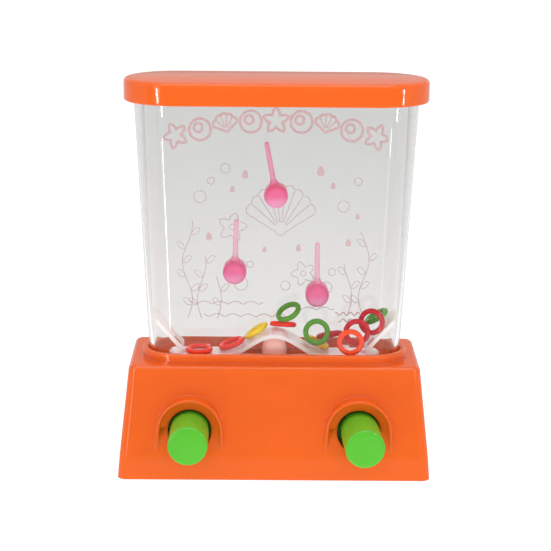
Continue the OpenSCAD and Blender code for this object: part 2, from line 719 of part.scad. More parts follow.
module bottom_cover() {
    half_w = side_at(cover_t) - base_wall - cover_fit;
    half_d = foot_d / 2 - base_wall - cover_fit;
    chamber_back = chamber_len - chamber_front;
    corner = corner_r / 3;
    color(ORANGE) difference() {
        union() {
            linear_extrude(cover_t) difference() {
                square([2 * half_w, 2 * half_d], center = true);
                for (sx = [-1, 1], sy = [-1, 1])
                    translate([sx * half_w, sy * half_d]) rotate(45) square(corner, center = true);
            }
            for (side = [-1, 1]) {
                // A cradle below each pump and a post behind it
                translate([side * button_x - cradle_w / 2, -chamber_front / 2, cover_t / 2])
                    cube([cradle_w, chamber_back, button_z - chamber_r / 2 - cover_t / 2]);
                translate([side * button_x - post_w / 2, chamber_back + hold_gap, cover_t / 2])
                    cube([post_w, post_t, button_z + post_rise - cover_t / 2]);
            }
            for (sx = [-1, 1], sy = [-1, 1])
                translate([sx * screw_x, sy * screw_y, 0])
                    cylinder(h = cover_t + pad_rise, r = screw_boss_r, $fn = FINE);
        }
        for (side = [-1, 1])
            forward(side * button_x, -chamber_back - hold_gap, chamber_front, chamber_r + hold_gap);
        for (sx = [-1, 1], sy = [-1, 1])
            translate([sx * screw_x, sy * screw_y, -OVER]) {
                cylinder(h = boss_z + OVER, r = shank_r + 2 * hold_gap, $fn = FINE);
                cylinder(h = head_top + hold_gap + OVER, r = head_r + 2 * hold_gap, $fn = FINE);
            }
        translate([0, 0, -OVER]) cylinder(h = cover_t + 2 * OVER, r = port_r, $fn = FINE);
    }
}

module cover_screws() {
    slot = [head_r * 1.2, 0.4, head_h / 2];
    color("silver") for (sx = [-1, 1], sy = [-1, 1])
        translate([sx * screw_x, sy * screw_y, 0]) difference() {
            union() {
                translate([0, 0, head_sunk]) cylinder(h = head_h, r = head_r, $fn = FINE);
                translate([0, 0, head_sunk]) cylinder(h = head_h + shank_len, r = shank_r, $fn = FINE);
            }
            // The cross in the head
            for (turn = [0, 90])
                rotate(turn) translate([-slot[0] / 2, -slot[1] / 2, head_sunk - OVER])
                    cube([slot[0], slot[1], slot[2] + OVER]);
        }
}

module loose_ring(ring) {
    at = ring[2];
    color(ring[1]) translate([at[0], at[1], floor_z + hump_at(at[0]) + at[2]])
        rotate([0, ring[3][0], ring[3][1]])
            rotate_extrude($fn = FINE) translate([ring_r, 0]) circle(ring_wire_r, $fn = SOFT);
}

lid();
tank();
deck();
top_peg();
left_peg();
right_peg();
left_jet();
right_jet();
left_feed_tube();
right_feed_tube();
left_pump_chamber();
right_pump_chamber();
left_bellows();
right_bellows();
left_button();
right_button();
filler_plug();
base_shell();
bottom_cover();
cover_screws();
for (ring = RINGS) loose_ring(ring);
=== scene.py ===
# %% [markdown]
# # A handheld water game, dressed for the camera
# The toy is a clear tank on an orange base. Twelve loose rings lie in the tank, and two green
# buttons on the base puff water through jets, which toss the rings onto three pink pegs.
# Its moulded pieces are measured already, so this lesson takes their solids as they are and
# adds what a photograph shows: finishes, the print on the back wall, a floor, light and a camera.

# %% Load the moulded pieces
import math

import bpy
from mathutils import Matrix, Vector


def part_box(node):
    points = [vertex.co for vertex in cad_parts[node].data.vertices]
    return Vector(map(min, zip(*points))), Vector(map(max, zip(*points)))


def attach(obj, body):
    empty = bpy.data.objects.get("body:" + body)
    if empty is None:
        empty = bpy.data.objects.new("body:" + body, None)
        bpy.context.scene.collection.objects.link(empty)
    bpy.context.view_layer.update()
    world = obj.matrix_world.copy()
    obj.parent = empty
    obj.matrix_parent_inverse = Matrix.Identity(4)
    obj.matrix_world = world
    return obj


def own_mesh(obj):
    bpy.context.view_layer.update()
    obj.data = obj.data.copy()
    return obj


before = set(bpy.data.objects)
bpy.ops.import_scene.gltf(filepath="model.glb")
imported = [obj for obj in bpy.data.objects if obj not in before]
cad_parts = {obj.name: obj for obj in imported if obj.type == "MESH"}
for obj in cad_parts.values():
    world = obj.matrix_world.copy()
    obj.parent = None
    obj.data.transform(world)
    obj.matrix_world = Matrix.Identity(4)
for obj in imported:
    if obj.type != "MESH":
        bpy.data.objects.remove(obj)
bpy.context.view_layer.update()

MM = 0.001

# %% [markdown]
# ## The camera
# A photograph is matched in two steps: where the camera stood, and how long its lens was. Both
# could be moved by eye until the outlines meet, but fitted numbers are surer. The camera stood
# in front of the toy and a little above it. The lens is given in pixels of the picture, which
# become millimetres on Blender's 36 mm wide sensor.

# %% Where the camera stood
PICTURE_PX = 551
SENSOR_MM = 36
lens_px = 1666.2
distance = 459.16 * MM
turn, tilt, roll = (math.radians(degrees) for degrees in (0.459, 13.905, 0.524))
look_at = Vector((0.137, 0, 52.425)) * MM

ahead = Vector((math.sin(turn) * math.cos(tilt), math.cos(turn) * math.cos(tilt), -math.sin(tilt)))
level = Vector((math.cos(turn), -math.sin(turn), 0))
upright = level.cross(ahead)
across = math.cos(roll) * level + math.sin(roll) * upright
upward = math.cos(roll) * upright - math.sin(roll) * level
stand = Matrix((across, upward, -ahead)).transposed().to_4x4()
print("camera", round(distance / MM), "mm away")


# %% Stand the camera there
def add_object(title, data):
    """Puts a mesh, a lamp or a camera into the scene."""
    added = bpy.data.objects.new(title, data)
    bpy.context.scene.collection.objects.link(added)
    return added


camera = add_object("camera", bpy.data.cameras.new("camera"))
camera.data.sensor_width = SENSOR_MM
camera.data.lens = lens_px / PICTURE_PX * SENSOR_MM
camera.data.clip_start = 10 * MM
camera.matrix_world = Matrix.Translation(look_at - distance * ahead) @ stand
bpy.context.scene.camera = camera
print("lens", round(camera.data.lens, 1), "mm")

# %% [markdown]
# ## Small helpers for shader nodes
# A material is a graph of nodes. It could be wired by hand, but then it can't be read or rerun.
# These helpers add a node, fill its sockets with numbers or with links, and hand back the socket
# that the next node needs, so that a recipe reads as a list.

# %% Helpers that add nodes
def place(tree, kind, given=None, **settings):
    """Adds a node. given fills its input sockets, settings its other values."""
    node = tree.nodes.new("ShaderNode" + kind)
    for name, value in settings.items():
        setattr(node, name, value)
    for name, value in (given or {}).items():
        if isinstance(value, bpy.types.NodeSocket):
            tree.links.new(value, node.inputs[name])
        else:
            node.inputs[name].default_value = value
    return node


def calc(tree, operation, *values, clamp=False):
    """One sum, product or other step of arithmetic."""
    given = dict(enumerate(values))
    return place(tree, "Math", given, operation=operation, use_clamp=clamp).outputs[0]


def stretch(tree, value, low, high, to_low=0.0, to_high=1.0):
    """Maps low..high smoothly onto another range."""
    given = {"Value": value, "From Min": low, "From Max": high, "To Min": to_low, "To Max": to_high}
    return place(tree, "MapRange", given, interpolation_type="SMOOTHSTEP").outputs[0]


def mix_colours(tree, share, first, second, how="MIX"):
    """Goes from the first colour to the second as share goes from 0 to 1."""
    given = {"Factor": share, 6: first, 7: second}
    return place(tree, "Mix", given, data_type="RGBA", blend_type=how).outputs[2]


print("helpers for nodes are ready")


# %% Helpers that say where a point is, and vary something from place to place
def own_place(tree):
    """Where a point of the surface lies, in metres."""
    return place(tree, "TexCoord").outputs["Object"]


def one_axis(tree, vector, axis):
    """One coordinate of a place or a direction."""
    return place(tree, "SeparateXYZ", {0: vector}).outputs[axis]


def noise(tree, where, per_metre, **given):
    """A value that wanders round 0.5, per_metre times in a metre."""
    return place(tree, "TexNoise", {"Vector": where, "Scale": per_metre, **given}).outputs[0]


print("helpers for places are ready")


# %% Helpers for shared effects, colours and materials
def start_group(title, takes, gives):
    """A shared effect with named sockets. Returns the group, its inputs and its outputs."""
    group = bpy.data.node_groups.new(title, "ShaderNodeTree")
    for name, kind, value in takes:
        socket = group.interface.new_socket(name, in_out="INPUT", socket_type="NodeSocket" + kind)
        socket.default_value = value
    for name, kind in gives:
        group.interface.new_socket(name, in_out="OUTPUT", socket_type="NodeSocket" + kind)
    return group, group.nodes.new("NodeGroupInput").outputs, group.nodes.new("NodeGroupOutput").inputs


def use_group(tree, group, given):
    """Places a shared effect in a material. Returns what it gives."""
    return place(tree, "Group", given, node_tree=group).outputs


def display_colour(red, green, blue):
    """A colour as a screen shows it, 0 to 255, turned into the linear one that shaders use."""
    shares = (value / 255 for value in (red, green, blue))
    return tuple(s / 12.92 if s < 0.04045 else ((s + 0.055) / 1.055) ** 2.4 for s in shares) + (1,)


def start_material(title):
    """A material with only its main shader. Returns the material, its nodes and that shader."""
    material = bpy.data.materials.new(title)
    material.use_nodes = True
    return material, material.node_tree, material.node_tree.nodes["Principled BSDF"]


def set_constants(shader, constants):
    """Sets what is the same all over, so Specular_IOR_Level=0.3 sets Specular IOR Level."""
    for name, value in constants.items():
        shader.inputs[name.replace("_", " ")].default_value = value


print("helpers for materials are ready")

# %% [markdown]
# ## Flow marks
# Moulded plastic is never one flat colour: its pigment swirls a little where the melt flowed, and
# its skin is slightly uneven. Both could be painted as pictures, but noise has no seam and no
# end. Every effect here is built once as a node group, and each material sets its own amounts.

# %% Effect: flow marks of the melt
SKIN_PER_METRE = 900.0


def build_flow_marks():
    takes = [("Colour", "Color", (1, 1, 1, 1)), ("Mottle", "Float", 0.1), ("Patch", "Float", 0.012),
             ("Roughness", "Float", 0.3), ("Roughness Spread", "Float", 0.08)]
    gives = [("Colour", "Color"), ("Roughness", "Float"), ("Height", "Float")]
    group, given, result = start_group("flow_marks", takes, gives)
    where = own_place(group)
    patches = calc(group, "DIVIDE", 1.0, given["Patch"])
    swirl = noise(group, where, patches, Detail=3.0, Distortion=1.2)
    skin = noise(group, where, SKIN_PER_METRE, Detail=4.0)
    lean = calc(group, "MULTIPLY", calc(group, "SUBTRACT", swirl, 0.5), given["Mottle"])
    brightness = calc(group, "MULTIPLY_ADD", lean, 2.0, 1.0)
    grey = place(group, "CombineColor", {0: brightness, 1: brightness, 2: brightness}).outputs[0]
    mottled = mix_colours(group, 1.0, given["Colour"], grey, "MULTIPLY")
    uneven = calc(group, "MULTIPLY", calc(group, "SUBTRACT", skin, 0.5), given["Roughness Spread"])
    rough = calc(group, "ADD", given["Roughness"], uneven, clamp=True)
    group.links.new(mottled, result["Colour"])
    group.links.new(rough, result["Roughness"])
    group.links.new(skin, result["Height"])
    return group


flow_marks = build_flow_marks()
print("flow marks:", len(flow_marks.nodes), "nodes")

# %% [markdown]
# ## Soft edges
# A moulded edge is rounded, catches the light, and is rubbed paler in patches. Set high, as on
# the buttons, the same paler edge is a painted highlight round their rims. Cutting a bevel
# into each solid would change its measured mesh, so the Bevel node rounds only the shading.
# Where its normal leaves the flat one, there is an edge, and that gives the mask for the rubbing
# and for the painted rim.

# %% Effect: rounded and rubbed edges, which also paint a highlight round a rim
EDGE_STARTS, EDGE_IS_FULL = 0.995, 0.75
RUBBED_PER_METRE = 320.0


def build_soft_edges():
    takes = [("Radius", "Float", 0.0003), ("Rub And Painted Rim", "Float", 0.5)]
    gives = [("Normal", "Vector"), ("Mask", "Float")]
    group, given, result = start_group("soft_edges", takes, gives)
    rounded = place(group, "Bevel", {"Radius": given["Radius"]}, samples=6).outputs[0]
    flat = place(group, "NewGeometry").outputs["Normal"]
    both = {0: rounded, 1: flat}
    likeness = place(group, "VectorMath", both, operation="DOT_PRODUCT").outputs["Value"]
    edge = stretch(group, likeness, EDGE_STARTS, EDGE_IS_FULL)
    patches = noise(group, own_place(group), RUBBED_PER_METRE, Detail=5.0)
    broken = stretch(group, patches, 0.42, 0.62)
    rubbed = calc(group, "MULTIPLY", calc(group, "MULTIPLY", edge, broken), given["Rub And Painted Rim"])
    group.links.new(rubbed, result["Mask"])
    group.links.new(rounded, result["Normal"])
    return group


soft_edges = build_soft_edges()
print("soft edges:", len(soft_edges.nodes), "nodes")

# %% [markdown]
# ## Scratches
# Hands and shelves leave hairlines that cross at a few angles. Waves would draw them too evenly.
# The borders between stretched cells are thin and straight for a while, then end, and noise
# bends them a little and keeps only some of them.

# %% Effect: hairline scratches from handling
SCRATCH_ANGLES = (20, 75, 140)
SCRATCH_STRETCH = (1.0, 0.12, 0.12)
SCRATCH_BEND = (0.002, 0.002, 0.002)
SCRATCH_WIDTH = 0.006


def build_hairlines():
    takes = [("Amount", "Float", 0.5), ("Spacing", "Float", 0.006)]
    group, given, result = start_group("hairlines", takes, [("Mask", "Float")])
    where = own_place(group)
    density = calc(group, "DIVIDE", 1.0, given["Spacing"])
    total = 0.0
    for angle in SCRATCH_ANGLES:
        turn_by = (0.3, math.radians(angle), 0.9)
        drawn_out = {"Vector": where, "Rotation": turn_by, "Scale": SCRATCH_STRETCH}
        turned = place(group, "Mapping", drawn_out).outputs[0]
        wander = place(group, "TexNoise", {"Vector": turned, "Scale": 60.0}).outputs["Color"]
        bend = place(group, "VectorMath", {0: wander, 1: SCRATCH_BEND}, operation="MULTIPLY").outputs[0]
        route = place(group, "VectorMath", {0: turned, 1: bend}, operation="ADD").outputs[0]
        cell = {"Vector": route, "Scale": density}
        border = place(group, "TexVoronoi", cell, feature="DISTANCE_TO_EDGE").outputs[0]
        line = stretch(group, border, SCRATCH_WIDTH, 0.0)
        chance = stretch(group, noise(group, where, 90.0 + angle), 0.58, 0.68)
        total = calc(group, "ADD", total, calc(group, "MULTIPLY", line, chance), clamp=True)
    some = stretch(group, noise(group, where, 240.0), 0.45, 0.65)
    seen = calc(group, "MULTIPLY", calc(group, "MULTIPLY", total, some), given["Amount"])
    group.links.new(seen, result["Mask"])
    return group


hairlines = build_hairlines()
print("hairlines:", len(hairlines.nodes), "nodes")

# %% [markdown]
# ## Dust
# A few specks of dust settle, most of them on faces that look up. Scattered grains would be
# thousands of tiny pieces. A round dot in the middle of some of the cells looks the same.

# %% Effect: specks of dust on whatever faces up
DOT_EDGE, DOT_FULL = 0.07, 0.03
SPARED_SHARE = 0.8


def build_dust_specks():
    takes = [("Amount", "Float", 0.5), ("Spacing", "Float", 0.004)]
    group, given, result = start_group("dust_specks", takes, [("Mask", "Float")])
    density = calc(group, "DIVIDE", 1.0, given["Spacing"])
    cells = place(group, "TexVoronoi", {"Vector": own_place(group), "Scale": density}).outputs
    dot = stretch(group, cells["Distance"], DOT_EDGE, DOT_FULL)
    chance = place(group, "SeparateColor", {0: cells["Color"]}).outputs[0]
    kept = stretch(group, chance, SPARED_SHARE, SPARED_SHARE + 0.05)
    upwards = one_axis(group, place(group, "NewGeometry").outputs["Normal"], "Z")
    settled = stretch(group, upwards, 0.2, 0.8, 0.15, 1.0)
    seen = calc(group, "MULTIPLY", calc(group, "MULTIPLY", dot, kept), settled)
    group.links.new(calc(group, "MULTIPLY", seen, given["Amount"]), result["Mask"])
    return group


dust_specks = build_dust_specks()
print("dust specks:", len(dust_specks.nodes), "nodes")

# %% [markdown]
# ## Moulded plastic and rubber
# One recipe serves every solid piece, because they differ only in amounts. Flow marks give the
# colour and the gloss, rubbed edges and scratches make it paler and duller, with the paler edge a
# painted highlight where the rub is set high, and a very small bump keeps reflections alive.
# What is the same all over is set on the shader itself.

# %% The recipe for a moulded material
SKIN_HEIGHT = 0.004 * MM
DUST_COLOUR = (0.8, 0.76, 0.72, 1)
# How much a scratch pales the colour, dulls the gloss and cuts into the skin
SCRATCH_PALES, SCRATCH_DULLS, SCRATCH_CUTS = 0.35, 0.25, 0.5
SPECK_DULLS = 0.4


def moulded(title, colour, roughness, mottle=0.06, patch=14, rub=0.3, scratches=0.15, dust=0.3,
            edge=0.3, skin=0.5, **constants):
    """A moulded plastic or rubber. patch and edge are in millimetres."""
    material, tree, shader = start_material(title)
    base = use_group(tree, flow_marks, {"Colour": colour, "Mottle": mottle, "Patch": patch * MM,
                                        "Roughness": roughness})
    corner = use_group(tree, soft_edges, {"Radius": edge * MM, "Rub And Painted Rim": rub})
    lines = use_group(tree, hairlines, {"Amount": scratches})["Mask"]
    specks = use_group(tree, dust_specks, {"Amount": dust})["Mask"]

    paler = tuple(min(1, 0.6 * value + 0.3) for value in colour[:3]) + (1,)
    # Rubbed edges go paler; where the rub is set high, as on the buttons, this is a painted highlight
    # round the rim
    worn_and_painted_rim = mix_colours(tree, corner["Mask"], base["Colour"], paler)
    marked = mix_colours(tree, calc(tree, "MULTIPLY", lines, SCRATCH_PALES), worn_and_painted_rim, paler)
    dusty = mix_colours(tree, specks, marked, DUST_COLOUR)
    dulled = calc(tree, "MULTIPLY", lines, SCRATCH_DULLS)
    rough = calc(tree, "ADD", base["Roughness"], dulled, clamp=True)
    rough = calc(tree, "ADD", rough, calc(tree, "MULTIPLY", specks, SPECK_DULLS), clamp=True)
    height = calc(tree, "SUBTRACT", base["Height"], calc(tree, "MULTIPLY", lines, SCRATCH_CUTS))
    relief = {"Height": height, "Distance": SKIN_HEIGHT * skin, "Normal": corner["Normal"]}

    tree.links.new(dusty, shader.inputs["Base Color"])
    tree.links.new(rough, shader.inputs["Roughness"])
    tree.links.new(place(tree, "Bump", relief).outputs[0], shader.inputs["Normal"])
    set_constants(shader, constants)
    return material


print("the moulding recipe is ready")

# %% [markdown]
# ## The base, the lid and the buttons
# They are glossy injection-moulded plastic. Their gloss could come from a clear coat, but the
# plastic itself is this smooth, so a low roughness is enough. The pumps, hidden below, are milky
# plastic and cream rubber, the plug is soft rubber, and the screws are plated steel.

# %% Solid finishes
ORANGE = display_colour(232, 96, 24)
orange_plastic = moulded("orange_plastic", ORANGE, 0.12, mottle=0.05, dust=0.4, rub=0.15, edge=0.7,
                         skin=0.4, IOR=1.45)
# On the buttons the rub is set high, so the pale rim round each face is a painted highlight
green_plastic = moulded("green_plastic", display_colour(84, 184, 43), 0.12, mottle=0.06, patch=6,
                        dust=0.1, rub=0.8, edge=0.6, skin=0.4)
milky_plastic = moulded("milky_plastic", display_colour(236, 234, 224), 0.35, patch=6)
cream_rubber = moulded("cream_rubber", display_colour(226, 214, 190), 0.6, patch=4, scratches=0.1)
flesh_rubber = moulded("flesh_rubber", display_colour(254, 194, 180), 0.3, mottle=0.1, patch=3,
                       scratches=0.1)
screw_steel = moulded("screw_steel", display_colour(188, 188, 190), 0.3, patch=2, Metallic=1.0)
print("solid finishes made")

# %% [markdown]
# ## The rings
# The rings are soft glossy plastic in five colours. The orange and crimson ones let a little
# light through on the real toy. That could be glass, which is slow and grainy in so thin a wire,
# so a clear, strong colour stands for it, and all five share one recipe.

# %% Ring finishes
RING_SETTINGS = dict(roughness=0.13, mottle=0.12, patch=3, edge=0.1, Specular_IOR_Level=0.35)
RING_COLOURS = {"ring_green": (84, 152, 36), "ring_yellow": (250, 218, 40), "ring_red": (252, 44, 14),
                "ring_orange": (252, 72, 20), "ring_crimson": (196, 12, 34)}
ring_finishes = {name: moulded(name, display_colour(*colour), **RING_SETTINGS)
                 for name, colour in RING_COLOURS.items()}
print(len(ring_finishes), "ring finishes")

# %% [markdown]
# ## Clear and tinted plastic
# The tank is crystal clear polystyrene. Each wall takes a little light, and the back wall carries
# painted shade as well, which is why it looks pale grey against white. Light is slow to find its
# way through glass, so rays that only carry shadow or soft light pass it as if it were a tinted
# film. A tint is given as a function that adds its nodes to the material, so that it can change
# from place to place.

# %% The recipe for a clear material
POLYSTYRENE_IOR = 1.49
RIPPLES_PER_METRE = 45.0
BOND_BLUR = 0.05


def clear(title, tint, film, roughness=0.03, ripple=0.02, scratches=0.2, foot=None, **constants):
    """A see-through plastic. film is how much of the light passes one face for shadows. foot is
    the height below which the piece is bonded to the orange tray and shows its colour."""
    material, tree, shader = start_material(title)
    where = own_place(tree)
    base = use_group(tree, flow_marks, {"Colour": tint(tree), "Mottle": 0.02, "Patch": 20 * MM,
                                        "Roughness": roughness, "Roughness Spread": 0.02})
    lines = use_group(tree, hairlines, {"Amount": scratches})["Mask"]
    rough = calc(tree, "ADD", base["Roughness"], calc(tree, "MULTIPLY", lines, 0.2), clamp=True)
    wave = noise(tree, where, RIPPLES_PER_METRE, Detail=1.0)
    relief = {"Height": wave, "Distance": ripple * MM}

    tree.links.new(base["Colour"], shader.inputs["Base Color"])
    tree.links.new(rough, shader.inputs["Roughness"])
    tree.links.new(place(tree, "Bump", relief).outputs[0], shader.inputs["Normal"])
    set_constants(shader, {"Transmission_Weight": 1.0, "IOR": POLYSTYRENE_IOR, **constants})

    surface = shader.outputs[0]
    if foot:
        bonded = stretch(tree, one_axis(tree, where, "Z"), foot * MM, (foot - BOND_BLUR) * MM)
        tray = place(tree, "BsdfPrincipled", {"Base Color": ORANGE, "Roughness": 0.5}).outputs[0]
        surface = place(tree, "MixShader", {0: bonded, 1: surface, 2: tray}).outputs[0]
    rays = place(tree, "LightPath").outputs
    soft = calc(tree, "MAXIMUM", rays["Is Shadow Ray"], rays["Is Diffuse Ray"])
    through = place(tree, "BsdfTransparent", {"Color": film}).outputs[0]
    both = place(tree, "MixShader", {0: soft, 1: surface, 2: through}).outputs[0]
    tree.links.new(both, tree.nodes["Material Output"].inputs["Surface"])
    return material


print("the recipe for clear plastic is ready")

# %% [markdown]
# ## The tank and what stands in it
# The grey behind is painted shade, which deepens upwards towards the lid. One such tint for the
# whole tank would darken its front too. The tint follows the height and the depth instead: nearly
# clear in front, greyer behind and upwards. The deck and the jets are cloudier than the tank,
# because their moulds are less polished.

# %% Tank and deck finishes
WHITE = (1, 1, 1, 1)
FRONT_TINT = (0.97, 0.97, 0.965, 1)
# The back wall's grey is painted shade, deeper high up towards the lid than low down.
BACK_PAINTED_SHADE_LOW, BACK_PAINTED_SHADE_HIGH = (0.732, 0.718, 0.708, 1), (0.612, 0.612, 0.605, 1)
FOOT_ENDS, WALL_STARTS = 30.5 * MM, 33.5 * MM
PAINTED_SHADE_FROM, PAINTED_SHADE_TO = 34 * MM, 88 * MM
SIDE_BLEND = 6 * MM
TANK_FOOT, DECK_FOOT = 28.52, 30.02


def wall_tint_and_painted_shade(tree):
    """Nearly clear in front and at the foot. Behind, it greys with painted shade, the more so the
    higher up.
    """
    where = own_place(tree)
    height = one_axis(tree, where, "Z")
    above_foot = stretch(tree, height, FOOT_ENDS, WALL_STARTS)
    painted_shade_share = stretch(tree, height, PAINTED_SHADE_FROM, PAINTED_SHADE_TO)
    grey = mix_colours(tree, painted_shade_share, BACK_PAINTED_SHADE_LOW, BACK_PAINTED_SHADE_HIGH)
    front = mix_colours(tree, above_foot, WHITE, FRONT_TINT)
    behind = mix_colours(tree, above_foot, WHITE, grey)
    backwards = stretch(tree, one_axis(tree, where, "Y"), -SIDE_BLEND, SIDE_BLEND)
    return mix_colours(tree, backwards, front, behind)


def deck_tint(tree):
    return (0.985, 0.975, 0.975, 1)


clear_plastic = clear("clear_plastic", wall_tint_and_painted_shade, WHITE, foot=TANK_FOOT)
deck_plastic = clear("deck_plastic", deck_tint, WHITE, foot=DECK_FOOT, Transmission_Weight=0.3)
print("tank and deck finishes made")

# %% [markdown]
# ## The pegs
# The pegs are tinted plastic that lets a little light in, so a thick boss looks deep and a thin
# stick pale. True absorption would show this by itself, but needs far more samples, so the tint
# changes along each peg. The lighter lower half of each boss is a painted reflection.

# %% Peg finish
# The lower part of each boss is lighter by a painted reflection
PINK_PAINTED_REFLECTION = display_colour(238, 166, 202)
PINK_DEEP = display_colour(240, 112, 162)
PINK_MIDDLE = display_colour(228, 164, 186)
PINK_PALE = display_colour(236, 196, 208)
PEG_FILM = (0.9, 0.5, 0.7, 1)


def peg_tint(tree):
    """Deep pink at the top of the boss and lighter below, where the lighter pink is a painted
    reflection, and pale in the thin stick, which is a little deeper on the highest peg."""
    # From 0 at the lowest point of a peg to 1 at its tip
    share = one_axis(tree, place(tree, "TexCoord").outputs["Generated"], "Z")
    height = one_axis(tree, own_place(tree), "Z")
    boss = mix_colours(tree, stretch(tree, share, 0.05, 0.22), PINK_PAINTED_REFLECTION, PINK_DEEP)
    stick = mix_colours(tree, stretch(tree, height, 72 * MM, 80 * MM), PINK_PALE, PINK_MIDDLE)
    return mix_colours(tree, stretch(tree, share, 0.3, 0.46), boss, stick)


pink_plastic = clear("pink_plastic", peg_tint, PEG_FILM, roughness=0.08, Transmission_Weight=0.35)
print("peg finish made")

# %% [markdown]
# ## Dressing the pieces
# Each measured piece comes with a plain material named after its slot. That name picks the
# finish, so no piece is forgotten. Only the deck and the jets leave their slot's finish for the
# cloudier one.

# %% Give every piece its finish
CLOUDY_PIECES = ("deck", "left_jet", "right_jet")
finishes = {"orange_plastic": orange_plastic, "green_plastic": green_plastic,
            "milky_plastic": milky_plastic, "cream_rubber": cream_rubber,
            "flesh_rubber": flesh_rubber, "screw_steel": screw_steel,
            "clear_plastic": clear_plastic, "pink_plastic": pink_plastic, **ring_finishes}
for name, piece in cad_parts.items():
    slot = piece.material_slots[0].material.name
    piece.material_slots[0].material = deck_plastic if name in CLOUDY_PIECES else finishes[slot]
print("dressed", len(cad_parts), "pieces")

# %% [markdown]
# ## The print on the back wall
# The back wall carries a print in pale pink inks. Here it is a plain seaside design: an arched
# band of shells, stars and bubbles, and below it thin line work of a big shell, weed, starfish
# and waves. An image would need a texture. Instead every line is a ribbon of faces a hair's
# breadth behind the wall, so it bends with the wall and stays sharp from close by.

# %% Paper that bends with the wall
WALL_END = 26.4
LOW_HEIGHT, LOW_RADIUS = 28.5, 8.15
HIGH_HEIGHT, HIGH_RADIUS = 105.2, 12.1


class Drawing:
    """Collects ribbons and filled shapes on the back wall and turns them into one mesh. All
    sizes are in millimetres: x runs along the wall from its middle, z is the height."""

    def __init__(self, gap):
        self.gap, self.points, self.faces = gap, [], []

    def dot(self, x, z):
        share = (z - LOW_HEIGHT) / (HIGH_HEIGHT - LOW_HEIGHT)
        radius = LOW_RADIUS + share * (HIGH_RADIUS - LOW_RADIUS) + self.gap
        past = max(abs(x) - WALL_END, 0) / radius
        reach = min(abs(x), WALL_END) + radius * math.sin(past)
        self.points.append(Vector((math.copysign(reach, x), radius * math.cos(past), z)) * MM)

    def line(self, path, width, closed=False):
        first, count = len(self.points), len(path)
        for i, (x, z) in enumerate(path):
            before = path[i - 1] if i or closed else path[0]
            after = path[(i + 1) % count] if i + 1 < count or closed else path[-1]
            run, rise = after[0] - before[0], after[1] - before[1]
            half = width / 2 / (math.hypot(run, rise) or 1.0)
            self.dot(x - rise * half, z + run * half)
            self.dot(x + rise * half, z - run * half)
        for i in range(count if closed else count - 1):
            here, beyond = first + 2 * i, first + 2 * ((i + 1) % count)
            self.faces.append((here, here + 1, beyond + 1, beyond))

    def fill(self, middle, path):
        first, count = len(self.points), len(path)
        for x, z in [middle] + path:
            self.dot(x, z)
        self.faces += [(first, first + 1 + i, first + 1 + (i + 1) % count) for i in range(count)]

    def finish(self, title, ink):
        mesh = bpy.data.meshes.new(title)
        mesh.from_pydata(self.points, [], self.faces)
        piece = add_object(title, mesh)
        mesh.materials.append(ink)
        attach(piece, "case")
        print(title, len(self.faces), "faces")


print("paper is ready")

# %% [markdown]
# ## Stencils
# Stars, drops and bubbles are all a walk round a middle with a distance that changes with the
# heading. Writing them so keeps each to a line or two. A shell is a fan, so it gets its own walk.

# %% Shapes that run round a middle
def around(middle, reach, turned=0.0, steps=48):
    """Points round a middle. reach gives the distance for an angle in degrees from upright."""
    headings = [(360 * i / steps, math.radians(360 * i / steps + turned)) for i in range(steps)]
    return [(middle[0] + reach(angle) * math.sin(way), middle[1] + reach(angle) * math.cos(way))
            for angle, way in headings]


def bubble(middle, radius):
    return around(middle, lambda angle: radius, steps=28)


def star(middle, size, turned, waist=0.5):
    """Five points. waist is how far in the hollows between them are."""
    def reach(angle):
        fold = abs((angle / 72 + 0.5) % 1 - 0.5) * 2
        return size * (1 - fold * (1 - waist))
    return around(middle, reach, turned, steps=60)


def drop(middle, size):
    """Round below, with a point on top."""
    def reach(angle):
        point = max(0.0, math.cos(math.radians(angle))) ** 6
        return size * (0.62 + 0.5 * point)
    return around(middle, reach, steps=20)


print("round stencils are ready")


# %% Shells, leaves and evenly spaced points
def shell(middle, size, lobes, turned=0.0):
    """A scallop shell: a fan of ribs with a lobed rim. Returns its outline and its ribs."""
    spread, rim, narrow, steps = 68, 1.45, 0.84, 6
    lean, hinge = math.radians(turned), -0.5 * size

    def spot(angle, reach):
        x = narrow * size * reach * math.sin(angle)
        z = hinge + size * reach * math.cos(angle)
        return (middle[0] + x * math.cos(lean) + z * math.sin(lean),
                middle[1] + z * math.cos(lean) - x * math.sin(lean))

    count = lobes * steps
    angles = [math.radians(spread - 2 * spread * i / count) for i in range(count + 1)]
    bulges = [1 + 0.06 * abs(math.sin(math.pi * i / steps)) for i in range(count + 1)]
    edge = [spot(angle, rim * bulge) for angle, bulge in zip(angles, bulges)]
    base = [spot(math.radians(angle), 0.2) for angle in (-110, -150, 150, 110)]
    ribs = [[spot(angle, reach) for reach in (0.25, 0.8, rim * 0.97)]
            for angle in angles[steps:-steps:steps]]
    return edge + base, ribs


LEAF_STEPS, LEAF_RUN, LEAF_RISE, LEAF_BELLY = 8, 0.325, 0.2, 0.9


def leaf(x, z, side):
    """A leaf that rises from a stalk: out along its upper edge and back along its lower one."""
    def spot(step, belly):
        bulge = belly * math.sin(math.pi * step / LEAF_STEPS)
        return (x + side * LEAF_RUN * step, z + LEAF_RISE * step + bulge)
    there = [spot(step, LEAF_BELLY) for step in range(LEAF_STEPS + 1)]
    back = [spot(step, -LEAF_BELLY) for step in range(LEAF_STEPS - 1, 0, -1)]
    return there + back


def spaced(low, high, step):
    return [low + step * k for k in range(int((high - low) / step) + 1)]


print("all stencils are ready")

# %% [markdown]
# ## Inks
# Ink lies on the wall as a thin film that a little light shines through. A mix with a
# transparent shader would do, but the main shader's own Alpha is simpler, and it is exported.

